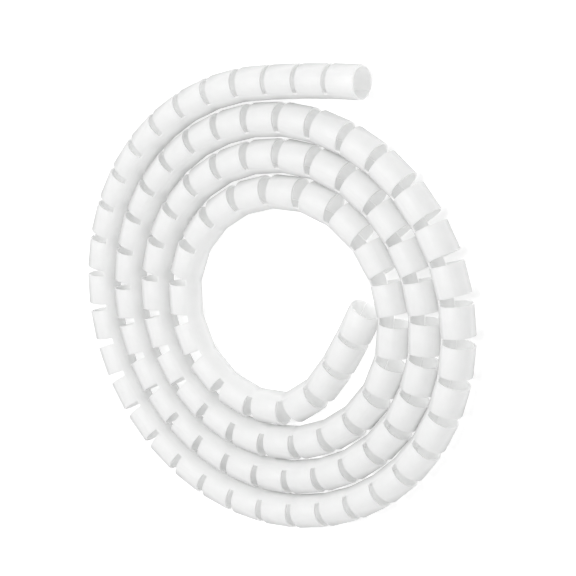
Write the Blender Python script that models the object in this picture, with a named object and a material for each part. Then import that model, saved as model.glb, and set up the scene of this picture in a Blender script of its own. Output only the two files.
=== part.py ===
"""Spiral cable wrap: a slotted plastic tube, lying in a flat four-turn coil."""

import math

import bmesh
import bpy
from mathutils import Matrix, Vector

# Tube section, in metres
OUTER_DIAMETER = 0.020
WALL = 0.0012

# The spine is the strip of wall that the slots leave whole, on the inner side of the coil.
# Angles are measured from the top of the tube, positive towards the outside of the coil.
SPINE_UPPER_ANGLE = math.radians(-40)
SPINE_LOWER_ANGLE = math.radians(-142)
SLIT_WIDTH = 0.0004

# Fingers and the slots between them, measured along the spine
FINGER_LENGTH = 0.01816
SLOT_WIDTH = 0.0026

# Coil: the radius is that of the tube's centre line at the start of the first turn, and turns
# are counted inwards from there, anticlockwise from the top. The coil lies a little out of
# round, widest at WIDEST_ANGLE and opposite it, and its turns drift sideways.
COIL_RADIUS = 0.1367
TURN_SPACING = 0.02105
OUT_OF_ROUND = 0.0034
WIDEST_ANGLE = math.radians(-71.3)
DRIFT_PER_TURN = 0.0004
FIRST_TURNS = 0.001
LAST_TURNS = 3.48

# Loose ends: the outer one runs on nearly straight, the inner one opens out towards the
# third turn
FREE_FINGERS = 3
FREE_BEND = math.radians(2)
TAIL_BENDS = (math.radians(32), math.radians(18), math.radians(7), math.radians(3))

FACET_ANGLE = math.radians(30)

WHITE_PLASTIC = (0.90, 0.90, 0.89, 1.0)
PLASTIC_ROUGHNESS = 0.38

PITCH = FINGER_LENGTH + SLOT_WIDTH
OUTER_RADIUS = OUTER_DIAMETER / 2
INNER_RADIUS = OUTER_RADIUS - WALL
SPINE_OFFSET = OUTER_RADIUS - WALL / 2


def clear_scene():
    for item in list(bpy.data.objects):
        bpy.data.objects.remove(item, do_unlink=True)


def make_material():
    material = bpy.data.materials.new("white_polyethylene")
    material.use_nodes = True
    shader = material.node_tree.nodes["Principled BSDF"]
    shader.inputs["Base Color"].default_value = WHITE_PLASTIC
    shader.inputs["Roughness"].default_value = PLASTIC_ROUGHNESS
    shader.inputs["Metallic"].default_value = 0.0
    return material


def spine_point(turns):
    """The spine's place on the coil, before the coil is centred on the origin."""
    angle = 2 * math.pi * turns
    radius = COIL_RADIUS - SPINE_OFFSET - TURN_SPACING * turns
    radius += OUT_OF_ROUND * math.cos(2 * (angle - WIDEST_ANGLE))
    drift = DRIFT_PER_TURN * turns
    return Vector((drift - radius * math.sin(angle), radius * math.cos(angle), 0))


def next_turns(turns):
    """How far round the coil the next joint lies, one straight pitch from this one."""
    low, high = turns, turns + 0.2
    start = spine_point(turns)
    for _ in range(50):
        middle = (low + high) / 2
        if (spine_point(middle) - start).length < PITCH:
            low = middle
        else:
            high = middle
    return high


def coiled_joints():
    """The joints between fingers along the wound part."""
    turns = FIRST_TURNS
    joints = [spine_point(turns)]
    while turns < LAST_TURNS:
        turns = next_turns(turns)
        joints.append(spine_point(turns))
    return joints


def run_on(joints, bends):
    """Joints that carry on past the last one, each finger turned by its own bend."""
    run = list(joints)
    for bend in bends:
        step = run[-1] - run[-2]
        step.rotate(Matrix.Rotation(bend, 3, "Z"))
        run.append(run[-1] + step.normalized() * PITCH)
    return run


def all_joints():
    coiled = coiled_joints()
    outwards = run_on(coiled[::-1], [-FREE_BEND] * FREE_FINGERS)
    return run_on(outwards[::-1], TAIL_BENDS)


def arc_angles(start, end):
    """Angles from start to end, with the facets' corners between them."""
    half = FACET_ANGLE / 2
    corners = [half + FACET_ANGLE * number for number in range(-8, 9)]
    near = FACET_ANGLE * 0.45
    inside = [a for a in corners if min(start, end) + near < a < max(start, end) - near]
    if start > end:
        inside.reverse()
    return [start] + inside + [end]


def section_ring(angles):
    """A band of the tube's wall: its outer corners, then its inner ones back again."""
    reach = 1 / math.cos(FACET_ANGLE / 2)
    outer = [(OUTER_RADIUS * reach, angle) for angle in angles]
    inner = [(INNER_RADIUS * reach, angle) for angle in reversed(angles)]
    return [Vector((0, radius * math.sin(angle), radius * math.cos(angle)))
            for radius, angle in outer + inner]


def finger_frame(start, end):
    """Placement of a finger: X along it, Y to the outside of the coil, Z up."""
    along = (end - start).normalized()
    outwards = along.cross(Vector((0, 0, 1)))
    matrix = Matrix((along, outwards, Vector((0, 0, 1)))).transposed().to_4x4()
    matrix.translation = start + outwards * SPINE_OFFSET + Vector((0, 0, OUTER_RADIUS))
    return matrix @ Matrix.Translation((SLOT_WIDTH / 2, 0, 0))


def add_finger(bm, frame):
    """One finger with its stretch of spine. Returns the spine's first and last faces."""
    tip_angle = SPINE_LOWER_ANGLE + 2 * math.pi - SLIT_WIDTH / OUTER_RADIUS
    finger_ring = section_ring(arc_angles(SPINE_UPPER_ANGLE, tip_angle))
    spine_ring = section_ring(arc_angles(SPINE_UPPER_ANGLE, SPINE_LOWER_ANGLE))
    root = [bm.verts.new(frame @ finger_ring[0]), bm.verts.new(frame @ finger_ring[-1])]
    finger = [root[0]] + [bm.verts.new(frame @ point) for point in finger_ring[1:-1]] + [root[1]]
    spine = [root[0]] + [bm.verts.new(frame @ point) for point in spine_ring[1:-1]] + [root[1]]
    first = [bm.faces.new(finger), bm.faces.new(list(reversed(spine)))]
    made = bmesh.ops.extrude_face_region(bm, geom=first, use_keep_orig=True)["geom"]
    moved = [item for item in made if isinstance(item, bmesh.types.BMVert)]
    along = frame.to_3x3() @ Vector((FINGER_LENGTH, 0, 0))
    bmesh.ops.translate(bm, verts=moved, vec=along)
    last = [item for item in made if isinstance(item, bmesh.types.BMFace)]
    return first[1], min(last, key=lambda face: len(face.verts))


def join_spine(bm, last_face, first_face):
    """The short web of spine between two fingers, at the root of a slot."""
    edges = list(last_face.edges) + list(first_face.edges)
    bmesh.ops.delete(bm, geom=[last_face, first_face], context="FACES_ONLY")
    bmesh.ops.bridge_loops(bm, edges=edges)


def centre_on_origin(bm):
    """Puts the origin under the middle of the coil's box, at the level that it rests on."""
    lows = [min(vert.co[axis] for vert in bm.verts) for axis in range(3)]
    highs = [max(vert.co[axis] for vert in bm.verts) for axis in range(3)]
    shift = Vector((-(lows[0] + highs[0]) / 2, -(lows[1] + highs[1]) / 2, -lows[2]))
    bmesh.ops.translate(bm, verts=bm.verts, vec=shift)


def make_wrap(collection):
    joints = all_joints()
    bm = bmesh.new()
    previous = None
    for start, end in zip(joints, joints[1:]):
        first_face, last_face = add_finger(bm, finger_frame(start, end))
        if previous is not None:
            join_spine(bm, previous, first_face)
        previous = last_face
    bmesh.ops.recalc_face_normals(bm, faces=bm.faces)
    centre_on_origin(bm)
    mesh = bpy.data.meshes.new("spiral_wrap")
    bm.to_mesh(mesh)
    bm.free()
    mesh.shade_smooth()
    mesh.set_sharp_from_angle(angle=math.radians(40))
    mesh.materials.append(make_material())
    wrap = bpy.data.objects.new("spiral_wrap", mesh)
    collection.objects.link(wrap)
    return wrap


def main():
    clear_scene()
    collection = bpy.data.collections.new("spiral_cable_wrap")
    bpy.context.scene.collection.children.link(collection)
    make_wrap(collection)


main()
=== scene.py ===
import math
import bpy
from mathutils import Matrix, Vector


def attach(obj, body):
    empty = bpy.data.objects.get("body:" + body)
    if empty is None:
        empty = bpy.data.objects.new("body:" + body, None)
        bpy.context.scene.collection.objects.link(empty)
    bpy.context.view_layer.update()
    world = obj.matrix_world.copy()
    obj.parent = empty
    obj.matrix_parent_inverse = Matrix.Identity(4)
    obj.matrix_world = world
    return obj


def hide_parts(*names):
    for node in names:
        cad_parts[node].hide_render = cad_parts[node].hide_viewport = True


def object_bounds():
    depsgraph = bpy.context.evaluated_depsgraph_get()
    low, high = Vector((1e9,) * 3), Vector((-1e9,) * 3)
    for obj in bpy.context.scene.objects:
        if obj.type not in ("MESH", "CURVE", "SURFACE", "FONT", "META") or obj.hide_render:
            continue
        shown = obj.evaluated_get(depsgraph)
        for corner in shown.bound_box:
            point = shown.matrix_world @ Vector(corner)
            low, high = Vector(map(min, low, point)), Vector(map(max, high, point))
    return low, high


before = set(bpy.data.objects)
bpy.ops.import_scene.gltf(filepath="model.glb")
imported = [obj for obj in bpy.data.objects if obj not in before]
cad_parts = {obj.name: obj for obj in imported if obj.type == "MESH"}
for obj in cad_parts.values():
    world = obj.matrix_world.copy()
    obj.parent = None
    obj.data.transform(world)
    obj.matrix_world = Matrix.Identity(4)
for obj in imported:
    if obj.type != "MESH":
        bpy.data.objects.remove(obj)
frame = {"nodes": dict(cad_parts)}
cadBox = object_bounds()
print("frame loaded, nodes:", ", ".join(frame["nodes"]))


# Selection and small modelling helpers

def deselectAll():
    if bpy.context.object and bpy.context.object.mode != "OBJECT":
        bpy.ops.object.mode_set(mode="OBJECT")
    bpy.ops.object.select_all(action="DESELECT")


def makeActive(item):
    deselectAll()
    item.select_set(True)
    bpy.context.view_layer.objects.active = item


def selectVerts(item, wanted):
    # leaves edit mode on, with only the wanted vertices picked
    bpy.ops.object.mode_set(mode="EDIT")
    bpy.ops.mesh.select_mode(type="VERT")
    bpy.ops.mesh.select_all(action="DESELECT")
    bpy.ops.object.mode_set(mode="OBJECT")
    for vert in item.data.vertices:
        vert.select = wanted(vert.co)
    bpy.ops.object.mode_set(mode="EDIT")


def applyModifier(item, kind, **settings):
    modifier = item.modifiers.new(kind.lower(), kind)
    for name, value in settings.items():
        setattr(modifier, name, value)
    makeActive(item)
    bpy.ops.object.modifier_apply(modifier=modifier.name)


# Camera: it looks down on the coil from the side of the free end, turned so that the
# run with the free end is at the top of the picture

view = {
    "coilMiddle": (0.0051, -0.0074, 0.010),
    "leanRight": 36.47,     # degrees off the coil's axis, towards +X
    "leanUp": 14.55,        # degrees towards +Y
    "roll": -0.5,
    "distance": 1.1617,
    "aimRight": 0.0064,     # how far off the coil's middle the camera aims
    "aimUp": 0.01273,
    "lens": 123.96,
    "farLimit": 20,
}


def makeCamera():
    right, up = math.radians(view["leanRight"]), math.radians(view["leanUp"])
    back = Vector((math.sin(right) * math.cos(up), math.sin(up), math.cos(right) * math.cos(up)))
    sideways = Vector((0, 1, 0)).cross(back).normalized()
    middle = Vector(view["coilMiddle"])
    place = middle + back * view["distance"]
    aim = middle + sideways * view["aimRight"] + back.cross(sideways) * view["aimUp"]
    back = (place - aim).normalized()
    sideways = Vector((0, 1, 0)).cross(back).normalized()
    turn = Matrix((sideways, back.cross(sideways), back)).transposed()
    turn = turn @ Matrix.Rotation(math.radians(view["roll"]), 3, "Z")
    bpy.ops.object.camera_add(location=place)
    camera = bpy.context.object
    camera.name = "photoCamera"
    camera.rotation_euler = turn.to_euler()
    camera.data.lens = view["lens"]
    camera.data.clip_end = view["farLimit"]
    bpy.context.scene.camera = camera


# The wrap's own sizes, in metres and degrees. Angles round the tube start at its top and
# grow towards the outside of the coil. Turns are counted from the coil's outer end inwards

wrap = {
    "outerDiameter": 0.020,
    "wall": 0.0012,
    "fingerLength": 0.01816,
    "slotWidth": 0.0026,
    "spineUpper": -40,      # the strip of wall that the slots leave whole
    "spineLower": -142,
    "slit": 0.0004,         # between the fingers' tips and the spine
    "coilRadius": 0.1367,
    "turnSpacing": 0.02105,
    "outOfRound": 0.0034,
    "widestAngle": -71.3,
    "driftPerTurn": 0.0004,
    "firstTurns": 0.001,
    "lastTurns": 3.48,
    "freeFingers": 3,       # the outer end, which runs on nearly straight
    "freeBend": 2,
    "tailBends": (32, 18, 7, 3),    # the inner end, which opens out
    "fingerSteps": 44,
    "spineSteps": 18,
    "webSteps": 2,
    "edgeRound": 0.00022,
    "edgeSteps": 2,
    "edgeAngle": 50,        # edges sharper than this are rounded
    "smoothAngle": 35,
    "mergeDistance": 0.00002,
    "pickDistance": 0.0001,     # how far off a point may lie and still be picked
    "pickAngle": 0.5,
}
tubeRadius = wrap["outerDiameter"] / 2
spineReach = tubeRadius - wrap["wall"] / 2
pitch = wrap["fingerLength"] + wrap["slotWidth"]


def spinePoint(turns):
    angle = 2 * math.pi * turns
    radius = wrap["coilRadius"] - spineReach - wrap["turnSpacing"] * turns
    radius += wrap["outOfRound"] * math.cos(2 * (angle - math.radians(wrap["widestAngle"])))
    drift = wrap["driftPerTurn"] * turns
    return Vector((drift - radius * math.sin(angle), radius * math.cos(angle), 0))


def nextTurns(turns):
    # how far round the next joint lies, one straight pitch from this one, found by halving
    low, high = turns, turns + 0.2
    start = spinePoint(turns)
    for _ in range(50):
        middle = (low + high) / 2
        if (spinePoint(middle) - start).length < pitch:
            low = middle
        else:
            high = middle
    return high


def runOn(joints, bends):
    # joints that carry on past the last one, each finger turned by its own bend
    run = list(joints)
    for bend in bends:
        step = run[-1] - run[-2]
        step.rotate(Matrix.Rotation(math.radians(bend), 3, "Z"))
        run.append(run[-1] + step.normalized() * pitch)
    return run


def coilJoints():
    turns = wrap["firstTurns"]
    joints = [spinePoint(turns)]
    while turns < wrap["lastTurns"]:
        turns = nextTurns(turns)
        joints.append(spinePoint(turns))
    outwards = runOn(joints[::-1], [-wrap["freeBend"]] * wrap["freeFingers"])
    return runOn(outwards[::-1], wrap["tailBends"])


def fingerFrame(start, end):
    # X along the finger, Y to the outside of the coil, Z up
    along = (end - start).normalized()
    outwards = along.cross(Vector((0, 0, 1)))
    place = Matrix((along, outwards, Vector((0, 0, 1)))).transposed().to_4x4()
    place.translation = start + outwards * spineReach + Vector((0, 0, tubeRadius))
    return place @ Matrix.Translation((wrap["slotWidth"] / 2, 0, 0))


def fingerFrames():
    joints = coilJoints()
    return [fingerFrame(start, end) for start, end in zip(joints, joints[1:])]


# One finger, as a bare outer skin. The wall gets its thickness once all are joined

def ringPoint(x, degrees):
    angle = math.radians(degrees)
    return Vector((x, tubeRadius * math.sin(angle), tubeRadius * math.cos(angle)))


def angleOf(point):
    return math.degrees(math.atan2(point.y, point.z))


def makeFinger():
    deselectAll()
    length = wrap["fingerLength"]
    bpy.ops.mesh.primitive_plane_add(size=length, location=(length / 2, 0, 0))
    finger = bpy.context.object
    bpy.ops.object.transform_apply(location=True, rotation=True, scale=True)
    # keep one long edge, and put it where the finger stands on the spine
    selectVerts(finger, lambda point: point.y > 0)
    bpy.ops.mesh.delete(type="VERT")
    bpy.ops.object.mode_set(mode="OBJECT")
    root = ringPoint(0, wrap["spineUpper"])
    for vert in finger.data.vertices:
        vert.co.y, vert.co.z = root.y, root.z
    slitAngle = math.degrees(wrap["slit"] / tubeRadius)
    sweep = 360 + wrap["spineLower"] - slitAngle - wrap["spineUpper"]
    selectVerts(finger, lambda point: True)
    bpy.ops.mesh.spin(steps=wrap["fingerSteps"], angle=math.radians(sweep),
                      center=(0, 0, 0), axis=(1, 0, 0))
    bpy.ops.object.mode_set(mode="OBJECT")
    # the same edge is swept the other way for the spine
    leeway = wrap["pickAngle"]
    selectVerts(finger, lambda point: abs(angleOf(point) - wrap["spineUpper"]) < leeway)
    sweep = wrap["spineUpper"] - wrap["spineLower"]
    bpy.ops.mesh.spin(steps=wrap["spineSteps"], angle=math.radians(-sweep),
                      center=(0, 0, 0), axis=(1, 0, 0))
    bpy.ops.object.mode_set(mode="OBJECT")
    # the web that reaches to the next finger, still straight
    nearEnd = wrap["fingerLength"] - wrap["pickDistance"]
    lower, upper = wrap["spineLower"] - leeway, wrap["spineUpper"] + leeway
    selectVerts(finger, lambda point: point.x > nearEnd and lower < angleOf(point) < upper)
    bpy.ops.mesh.select_mode(type="EDGE")
    step = wrap["slotWidth"] / wrap["webSteps"]
    for _ in range(wrap["webSteps"]):
        bpy.ops.mesh.extrude_region_move(TRANSFORM_OT_translate={"value": (step, 0, 0)})
    bpy.ops.mesh.select_mode(type="VERT")
    bpy.ops.mesh.select_all(action="SELECT")
    bpy.ops.mesh.remove_doubles(threshold=wrap["mergeDistance"])
    bpy.ops.object.mode_set(mode="OBJECT")
    return finger


def bentWeb(here, following, point):
    # a point of the web, moved onto a smooth bend from this finger to the next
    share = (point.x - wrap["fingerLength"]) / wrap["slotWidth"]
    start = here @ Vector((wrap["fingerLength"], point.y, point.z))
    end = following @ Vector((0, point.y, point.z))
    reach = (end - start).length
    leave = here.to_3x3() @ Vector((reach, 0, 0))
    arrive = following.to_3x3() @ Vector((reach, 0, 0))
    square, cube = share * share, share ** 3
    return (start * (2 * cube - 3 * square + 1) + leave * (cube - 2 * square + share)
            + end * (3 * square - 2 * cube) + arrive * (cube - square))


def writeMap(item, number):
    # a flat map: along the tube, then round it, both in metres. It is cut inside the slit,
    # a degree past the spine's lower edge
    layer = item.data.uv_layers.new(name="alongAndRound")
    for loop in item.data.loops:
        point = item.data.vertices[loop.vertex_index].co
        turned = (angleOf(point) - wrap["spineLower"] + 1) % 360
        around = math.radians(turned) * tubeRadius
        layer.data[loop.index].uv = (number * pitch + point.x, around)


def placeFinger(template, frames, number):
    deselectAll()
    finger = bpy.data.objects.new("finger", template.data.copy())
    bpy.context.scene.collection.objects.link(finger)
    here = frames[number]
    following = frames[number + 1] if number + 1 < len(frames) else None
    writeMap(finger, number)
    endOfFinger = wrap["fingerLength"] + wrap["mergeDistance"]
    if following is None:
        # the last finger has no web to a next one
        makeActive(finger)
        selectVerts(finger, lambda point: point.x > endOfFinger)
        bpy.ops.mesh.delete(type="VERT")
        bpy.ops.object.mode_set(mode="OBJECT")
    for vert in finger.data.vertices:
        if vert.co.x > endOfFinger:
            vert.co = bentWeb(here, following, vert.co.copy())
        else:
            vert.co = here @ vert.co
    return finger


def makeWrap():
    template = makeFinger()
    print("one finger modelled, faces:", len(template.data.polygons))
    frames = fingerFrames()
    fingers = [placeFinger(template, frames, number) for number in range(len(frames))]
    bpy.data.objects.remove(template, do_unlink=True)
    deselectAll()
    for finger in fingers:
        finger.select_set(True)
    bpy.context.view_layer.objects.active = fingers[0]
    bpy.ops.object.join()
    piece = bpy.context.object
    piece.name = piece.data.name = "slottedWrap"
    bpy.ops.object.mode_set(mode="EDIT")
    bpy.ops.mesh.select_all(action="SELECT")
    bpy.ops.mesh.remove_doubles(threshold=wrap["mergeDistance"])
    bpy.ops.mesh.normals_make_consistent(inside=False)
    bpy.ops.object.mode_set(mode="OBJECT")
    print("fingers joined:", len(frames))
    return piece


def facesOutwards(piece, frames):
    # whether the skin's first face points away from the tube's own middle
    face = piece.data.polygons[0]
    middle = min((place.translation for place in frames),
                 key=lambda spot: (spot - face.center).length)
    return (face.center - middle).dot(face.normal) > 0


def centreInCadBox(piece):
    # the part's origin is under the middle of its box, and the CAD box says where that is
    acrosses = [vert.co.x for vert in piece.data.vertices]
    ups = [vert.co.y for vert in piece.data.vertices]
    shift = Vector((
        (cadBox[0][0] + cadBox[1][0] - min(acrosses) - max(acrosses)) / 2,
        (cadBox[0][1] + cadBox[1][1] - min(ups) - max(ups)) / 2,
        0))
    piece.data.transform(Matrix.Translation(shift))


def finishWrap(piece):
    if not facesOutwards(piece, fingerFrames()):
        makeActive(piece)
        bpy.ops.object.mode_set(mode="EDIT")
        bpy.ops.mesh.select_all(action="SELECT")
        bpy.ops.mesh.flip_normals()
        bpy.ops.object.mode_set(mode="OBJECT")
    applyModifier(piece, "SOLIDIFY", thickness=wrap["wall"], offset=-1, use_even_offset=True,
                  material_offset=1, material_offset_rim=1)
    applyModifier(piece, "BEVEL", width=wrap["edgeRound"], segments=wrap["edgeSteps"],
                  limit_method="ANGLE", angle_limit=math.radians(wrap["edgeAngle"]),
                  use_clamp_overlap=True, material=1)
    centreInCadBox(piece)
    makeActive(piece)
    bpy.ops.object.shade_smooth_by_angle(angle=math.radians(wrap["smoothAngle"]))
    print("wall and edges done, faces:", len(piece.data.polygons))


# Materials: one plastic with two finishes, the outer skin, and the inside with the cut edges

plastic = {
    "shadeColour": (0.86, 0.864, 0.859, 1),
    "cloudScale": 100,
    "cloudDetail": 5.0,
    "cloudRoughness": 0.6,
    "lineScale": 900,           # fine lines along the tube
    "lineDetail": 2.0,
    "lineRoughness": 0.5,
    "lineStretch": 0.03,
    "reliefStrength": 0.45,
    "reliefDepth": 0.0006,
    "depthShare": 1.0,          # how much of the light goes into the plastic and out again
    "depthReach": 0.002,
    "refraction": 1.5,
    # painted glow: the colour of the light that the plastic gives off of its own
    "paintedGlowColour": (0.955, 0.957, 0.954, 1),
    # painted shade: the grey that the colour turns where the surface is seen edge on, and the
    # facing value where that starts
    "paintedEdgeShadeColour": (0.42, 0.42, 0.42, 1),
    "paintedEdgeShadeStart": 0.42,
}
# The emission is a painted glow: the plastic gives off a little light of its own, in place of
# daylight let through the thin wall. The edge grey is painted shade: the colour turns grey where
# the surface is seen edge on
skinFinish = {
    "colour": (0.955, 0.957, 0.954, 1),
    "roughness": (0.40, 0.56),
    "lineShare": 0.6,
    "paintedGlowStrength": 0.02,
    # how far the painted edge shade greys the skin
    "paintedEdgeShadeAmount": 0.78,
}
insideFinish = {
    "colour": (0.94, 0.942, 0.939, 1),
    "roughness": (0.50, 0.62),
    "lineShare": 0.1,
    "paintedGlowStrength": 0.04,
    "paintedEdgeShadeAmount": 0.0,
}


def addNode(tree, kind, place, **inputs):
    node = tree.nodes.new(kind)
    node.location = place
    for name, value in inputs.items():
        node.inputs[name].default_value = value
    return node


def makeMottle():
    # soft cloudiness of the plastic: a mask, and a height with fine lines along the tube
    group = bpy.data.node_groups.new("plasticMottle", "ShaderNodeTree")
    face = group.interface
    for name in ("Cloud Scale", "Line Scale", "Line Share"):
        face.new_socket(name, in_out="INPUT", socket_type="NodeSocketFloat")
    face.new_socket("Mask", in_out="OUTPUT", socket_type="NodeSocketFloat")
    face.new_socket("Height", in_out="OUTPUT", socket_type="NodeSocketFloat")
    entry = addNode(group, "NodeGroupInput", (-900, 0))
    leave = addNode(group, "NodeGroupOutput", (500, 0))
    coords = addNode(group, "ShaderNodeTexCoord", (-900, -250))
    uvMap = addNode(group, "ShaderNodeUVMap", (-900, -450))
    uvMap.uv_map = "alongAndRound"
    clouds = addNode(group, "ShaderNodeTexNoise", (-500, 150), Detail=plastic["cloudDetail"],
                     Roughness=plastic["cloudRoughness"])
    stretch = addNode(group, "ShaderNodeMapping", (-700, -450))
    stretch.inputs["Scale"].default_value = (plastic["lineStretch"], 1, 1)
    lines = addNode(group, "ShaderNodeTexNoise", (-500, -350), Detail=plastic["lineDetail"],
                    Roughness=plastic["lineRoughness"])
    blend = addNode(group, "ShaderNodeMix", (0, -100))
    links = group.links
    links.new(coords.outputs["Object"], clouds.inputs["Vector"])
    links.new(entry.outputs["Cloud Scale"], clouds.inputs["Scale"])
    links.new(uvMap.outputs["UV"], stretch.inputs["Vector"])
    links.new(stretch.outputs["Vector"], lines.inputs["Vector"])
    links.new(entry.outputs["Line Scale"], lines.inputs["Scale"])
    links.new(entry.outputs["Line Share"], blend.inputs["Factor"])
    links.new(clouds.outputs["Fac"], blend.inputs["A"])
    links.new(lines.outputs["Fac"], blend.inputs["B"])
    links.new(clouds.outputs["Fac"], leave.inputs["Mask"])
    links.new(blend.outputs["Result"], leave.inputs["Height"])
    return group


def makePlastic(name, mottle, finish):
    material = bpy.data.materials.new(name)
    material.use_nodes = True
    tree = material.node_tree
    shader = tree.nodes["Principled BSDF"]
    shader.inputs["Subsurface Weight"].default_value = plastic["depthShare"]
    shader.inputs["Subsurface Radius"].default_value = (1, 1, 1)
    shader.inputs["Subsurface Scale"].default_value = plastic["depthReach"]
    shader.inputs["IOR"].default_value = plastic["refraction"]
    # painted glow: the emission makes the plastic give off light of its own, stronger inside the
    # bore and on the cut edges than on the skin
    shader.inputs["Emission Color"].default_value = plastic["paintedGlowColour"]
    shader.inputs["Emission Strength"].default_value = finish["paintedGlowStrength"]
    group = tree.nodes.new("ShaderNodeGroup")
    group.node_tree = mottle
    group.location = (-900, 0)
    group.inputs["Cloud Scale"].default_value = plastic["cloudScale"]
    group.inputs["Line Scale"].default_value = plastic["lineScale"]
    group.inputs["Line Share"].default_value = finish["lineShare"]
    colour = addNode(tree, "ShaderNodeMix", (-500, 200))
    colour.data_type = "RGBA"
    colour.inputs["A"].default_value = finish["colour"]
    colour.inputs["B"].default_value = plastic["shadeColour"]
    # painted shade: the base colour greys towards the silhouette, by how edge-on the surface is
    # seen
    facing = addNode(tree, "ShaderNodeLayerWeight", (-700, 450), Blend=0.5)
    edgeOn = addNode(tree, "ShaderNodeMapRange", (-500, 450))
    edgeOn.inputs["From Min"].default_value = plastic["paintedEdgeShadeStart"]
    edgeOn.inputs["To Max"].default_value = finish["paintedEdgeShadeAmount"]
    paintedEdgeShading = addNode(tree, "ShaderNodeMix", (-250, 300))
    paintedEdgeShading.data_type = "RGBA"
    paintedEdgeShading.inputs["B"].default_value = plastic["paintedEdgeShadeColour"]
    rough = addNode(tree, "ShaderNodeMapRange", (-500, -100))
    rough.inputs["To Min"].default_value = finish["roughness"][0]
    rough.inputs["To Max"].default_value = finish["roughness"][1]
    bump = addNode(tree, "ShaderNodeBump", (-500, -400), Strength=plastic["reliefStrength"],
                   Distance=plastic["reliefDepth"])
    links = tree.links
    links.new(group.outputs["Mask"], colour.inputs["Factor"])
    links.new(group.outputs["Mask"], rough.inputs["Value"])
    links.new(group.outputs["Height"], bump.inputs["Height"])
    links.new(facing.outputs["Facing"], edgeOn.inputs["Value"])
    links.new(edgeOn.outputs["Result"], paintedEdgeShading.inputs["Factor"])
    links.new(colour.outputs["Result"], paintedEdgeShading.inputs["A"])
    links.new(paintedEdgeShading.outputs["Result"], shader.inputs["Base Color"])
    links.new(rough.outputs["Result"], shader.inputs["Roughness"])
    links.new(bump.outputs["Normal"], shader.inputs["Normal"])
    return material


# Studio: a pale floor under soft light, with a dim sky all round and two wide lamps above

studio = {
    "floorSize": 12,
    "floorColour": (0.97, 0.97, 0.97, 1),
    "floorRoughness": 0.9,
    "floorGlow": 0.26,      # keeps the shadows on it faint
    "skyColour": (1, 1, 1, 1),
    "skyStrength": 0.45,
    # name, place, size, power, and whether it casts shadows
    "lamps": (
        ("keyLamp", (-0.4, 0.6, 1.8), 1.2, 15, True),
        ("fillLamp", (0.4, -0.3, 1.8), 1.6, 7, False),
    ),
}


def makeStudio():
    deselectAll()
    bpy.ops.mesh.primitive_plane_add(size=studio["floorSize"])
    floor = bpy.context.object
    floor.name = "studioFloor"
    material = bpy.data.materials.new("paleFloor")
    material.use_nodes = True
    shader = material.node_tree.nodes["Principled BSDF"]
    shader.inputs["Base Color"].default_value = studio["floorColour"]
    shader.inputs["Roughness"].default_value = studio["floorRoughness"]
    shader.inputs["Emission Color"].default_value = studio["floorColour"]
    shader.inputs["Emission Strength"].default_value = studio["floorGlow"]
    floor.data.materials.append(material)
    world = bpy.data.worlds.new("softSky")
    world.use_nodes = True
    sky = world.node_tree.nodes["Background"]
    sky.inputs["Color"].default_value = studio["skyColour"]
    sky.inputs["Strength"].default_value = studio["skyStrength"]
    bpy.context.scene.world = world
    # plain sRGB, so that a white floor comes out white
    bpy.context.scene.view_settings.view_transform = "Standard"
    for name, place, size, power, shadows in studio["lamps"]:
        bpy.ops.object.light_add(type="AREA", location=place)
        lamp = bpy.context.object
        lamp.name = name
        lamp.data.shape = "DISK"
        lamp.data.size = size
        lamp.data.energy = power
        lamp.data.use_shadow = shadows
        lamp.rotation_euler = (-Vector(place)).to_track_quat("-Z", "Y").to_euler()


makeCamera()
slottedWrap = makeWrap()
mottle = makeMottle()
slottedWrap.data.materials.clear()
slottedWrap.data.materials.append(makePlastic("whitePlasticSkin", mottle, skinFinish))
slottedWrap.data.materials.append(makePlastic("whitePlasticInside", mottle, insideFinish))
finishWrap(slottedWrap)
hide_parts("spiral_wrap")
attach(slottedWrap, "root")
makeStudio()
print("studio set")
